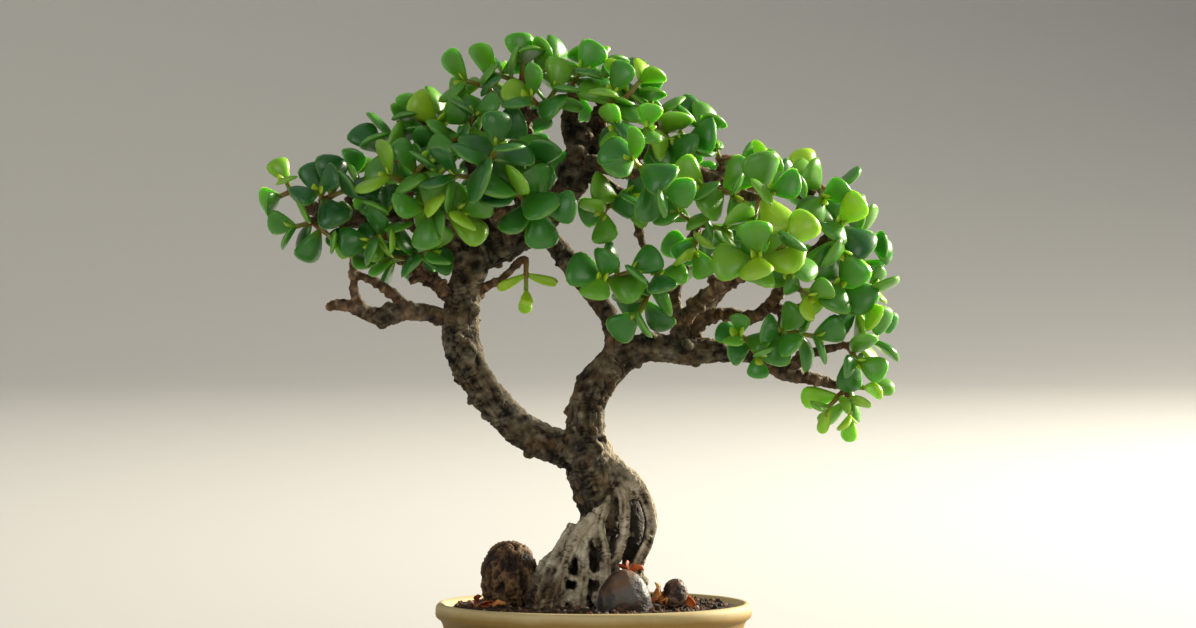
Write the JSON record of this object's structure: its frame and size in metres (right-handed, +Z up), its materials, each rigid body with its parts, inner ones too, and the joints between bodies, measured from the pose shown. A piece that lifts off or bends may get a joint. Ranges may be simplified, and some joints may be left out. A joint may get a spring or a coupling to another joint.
{
  "type": "jade bonsai in a pot",
  "caption": "Small bonsai tree with a forked gnarled trunk, surface roots and fleshy round leaves, in an oval footed pot with soil and stones.",
  "frame": {"origin": "under the middle of the whole tree, on the surface that the pot's feet stand on", "axes": "+Z up along the height, the pictured front looks along +Y, +X to the right across the widest spread of branches"},
  "size_m": [0.2073, 0.1114, 0.2195],
  "materials": {
    "stoneware": "matt tan, paler at the rim",
    "soil": "dark, gritty",
    "bark": "rough grey-brown bark with dark cracks",
    "rough_rock": "rough, fibrous brown",
    "smooth_rock": "smooth dark grey with rust patches",
    "pebble_rock": "dark, dull",
    "leaf": "fleshy, satin, with paler rims"
  },
  "bodies": {
    "root": {"pot": "stoneware", "soil": "soil", "trunk": "bark", "rough_stone": "rough_rock", "smooth_stone": "smooth_rock", "pebble": "pebble_rock", "spray_01": "leaf", "spray_02": "leaf", "spray_03": "leaf", "spray_04": "leaf", "spray_05": "leaf", "spray_06": "leaf", "spray_07": "leaf", "spray_08": "leaf", "spray_09": "leaf", "spray_10": "leaf", "spray_11": "leaf", "spray_12": "leaf", "spray_13": "leaf", "spray_14": "leaf", "spray_15": "leaf", "spray_16": "leaf", "spray_17": "leaf", "spray_18": "leaf", "spray_19": "leaf", "spray_20": "leaf", "spray_21": "leaf", "spray_22": "leaf", "spray_23": "leaf", "spray_24": "leaf", "spray_25": "leaf", "spray_26": "leaf", "spray_27": "leaf", "spray_28": "leaf", "spray_29": "leaf", "spray_30": "leaf", "spray_31": "leaf", "spray_32": "leaf", "spray_33": "leaf", "spray_34": "leaf", "spray_35": "leaf", "spray_36": "leaf", "spray_37": "leaf", "spray_38": "leaf", "spray_39": "leaf", "spray_40": "leaf", "spray_41": "leaf", "spray_42": "leaf", "spray_43": "leaf", "spray_44": "leaf", "spray_45": "leaf", "spray_46": "leaf", "spray_47": "leaf", "spray_48": "leaf", "spray_49": "leaf", "spray_50": "leaf", "spray_51": "leaf", "spray_52": "leaf", "spray_53": "leaf", "spray_54": "leaf"}
  },
  "joints": []
}
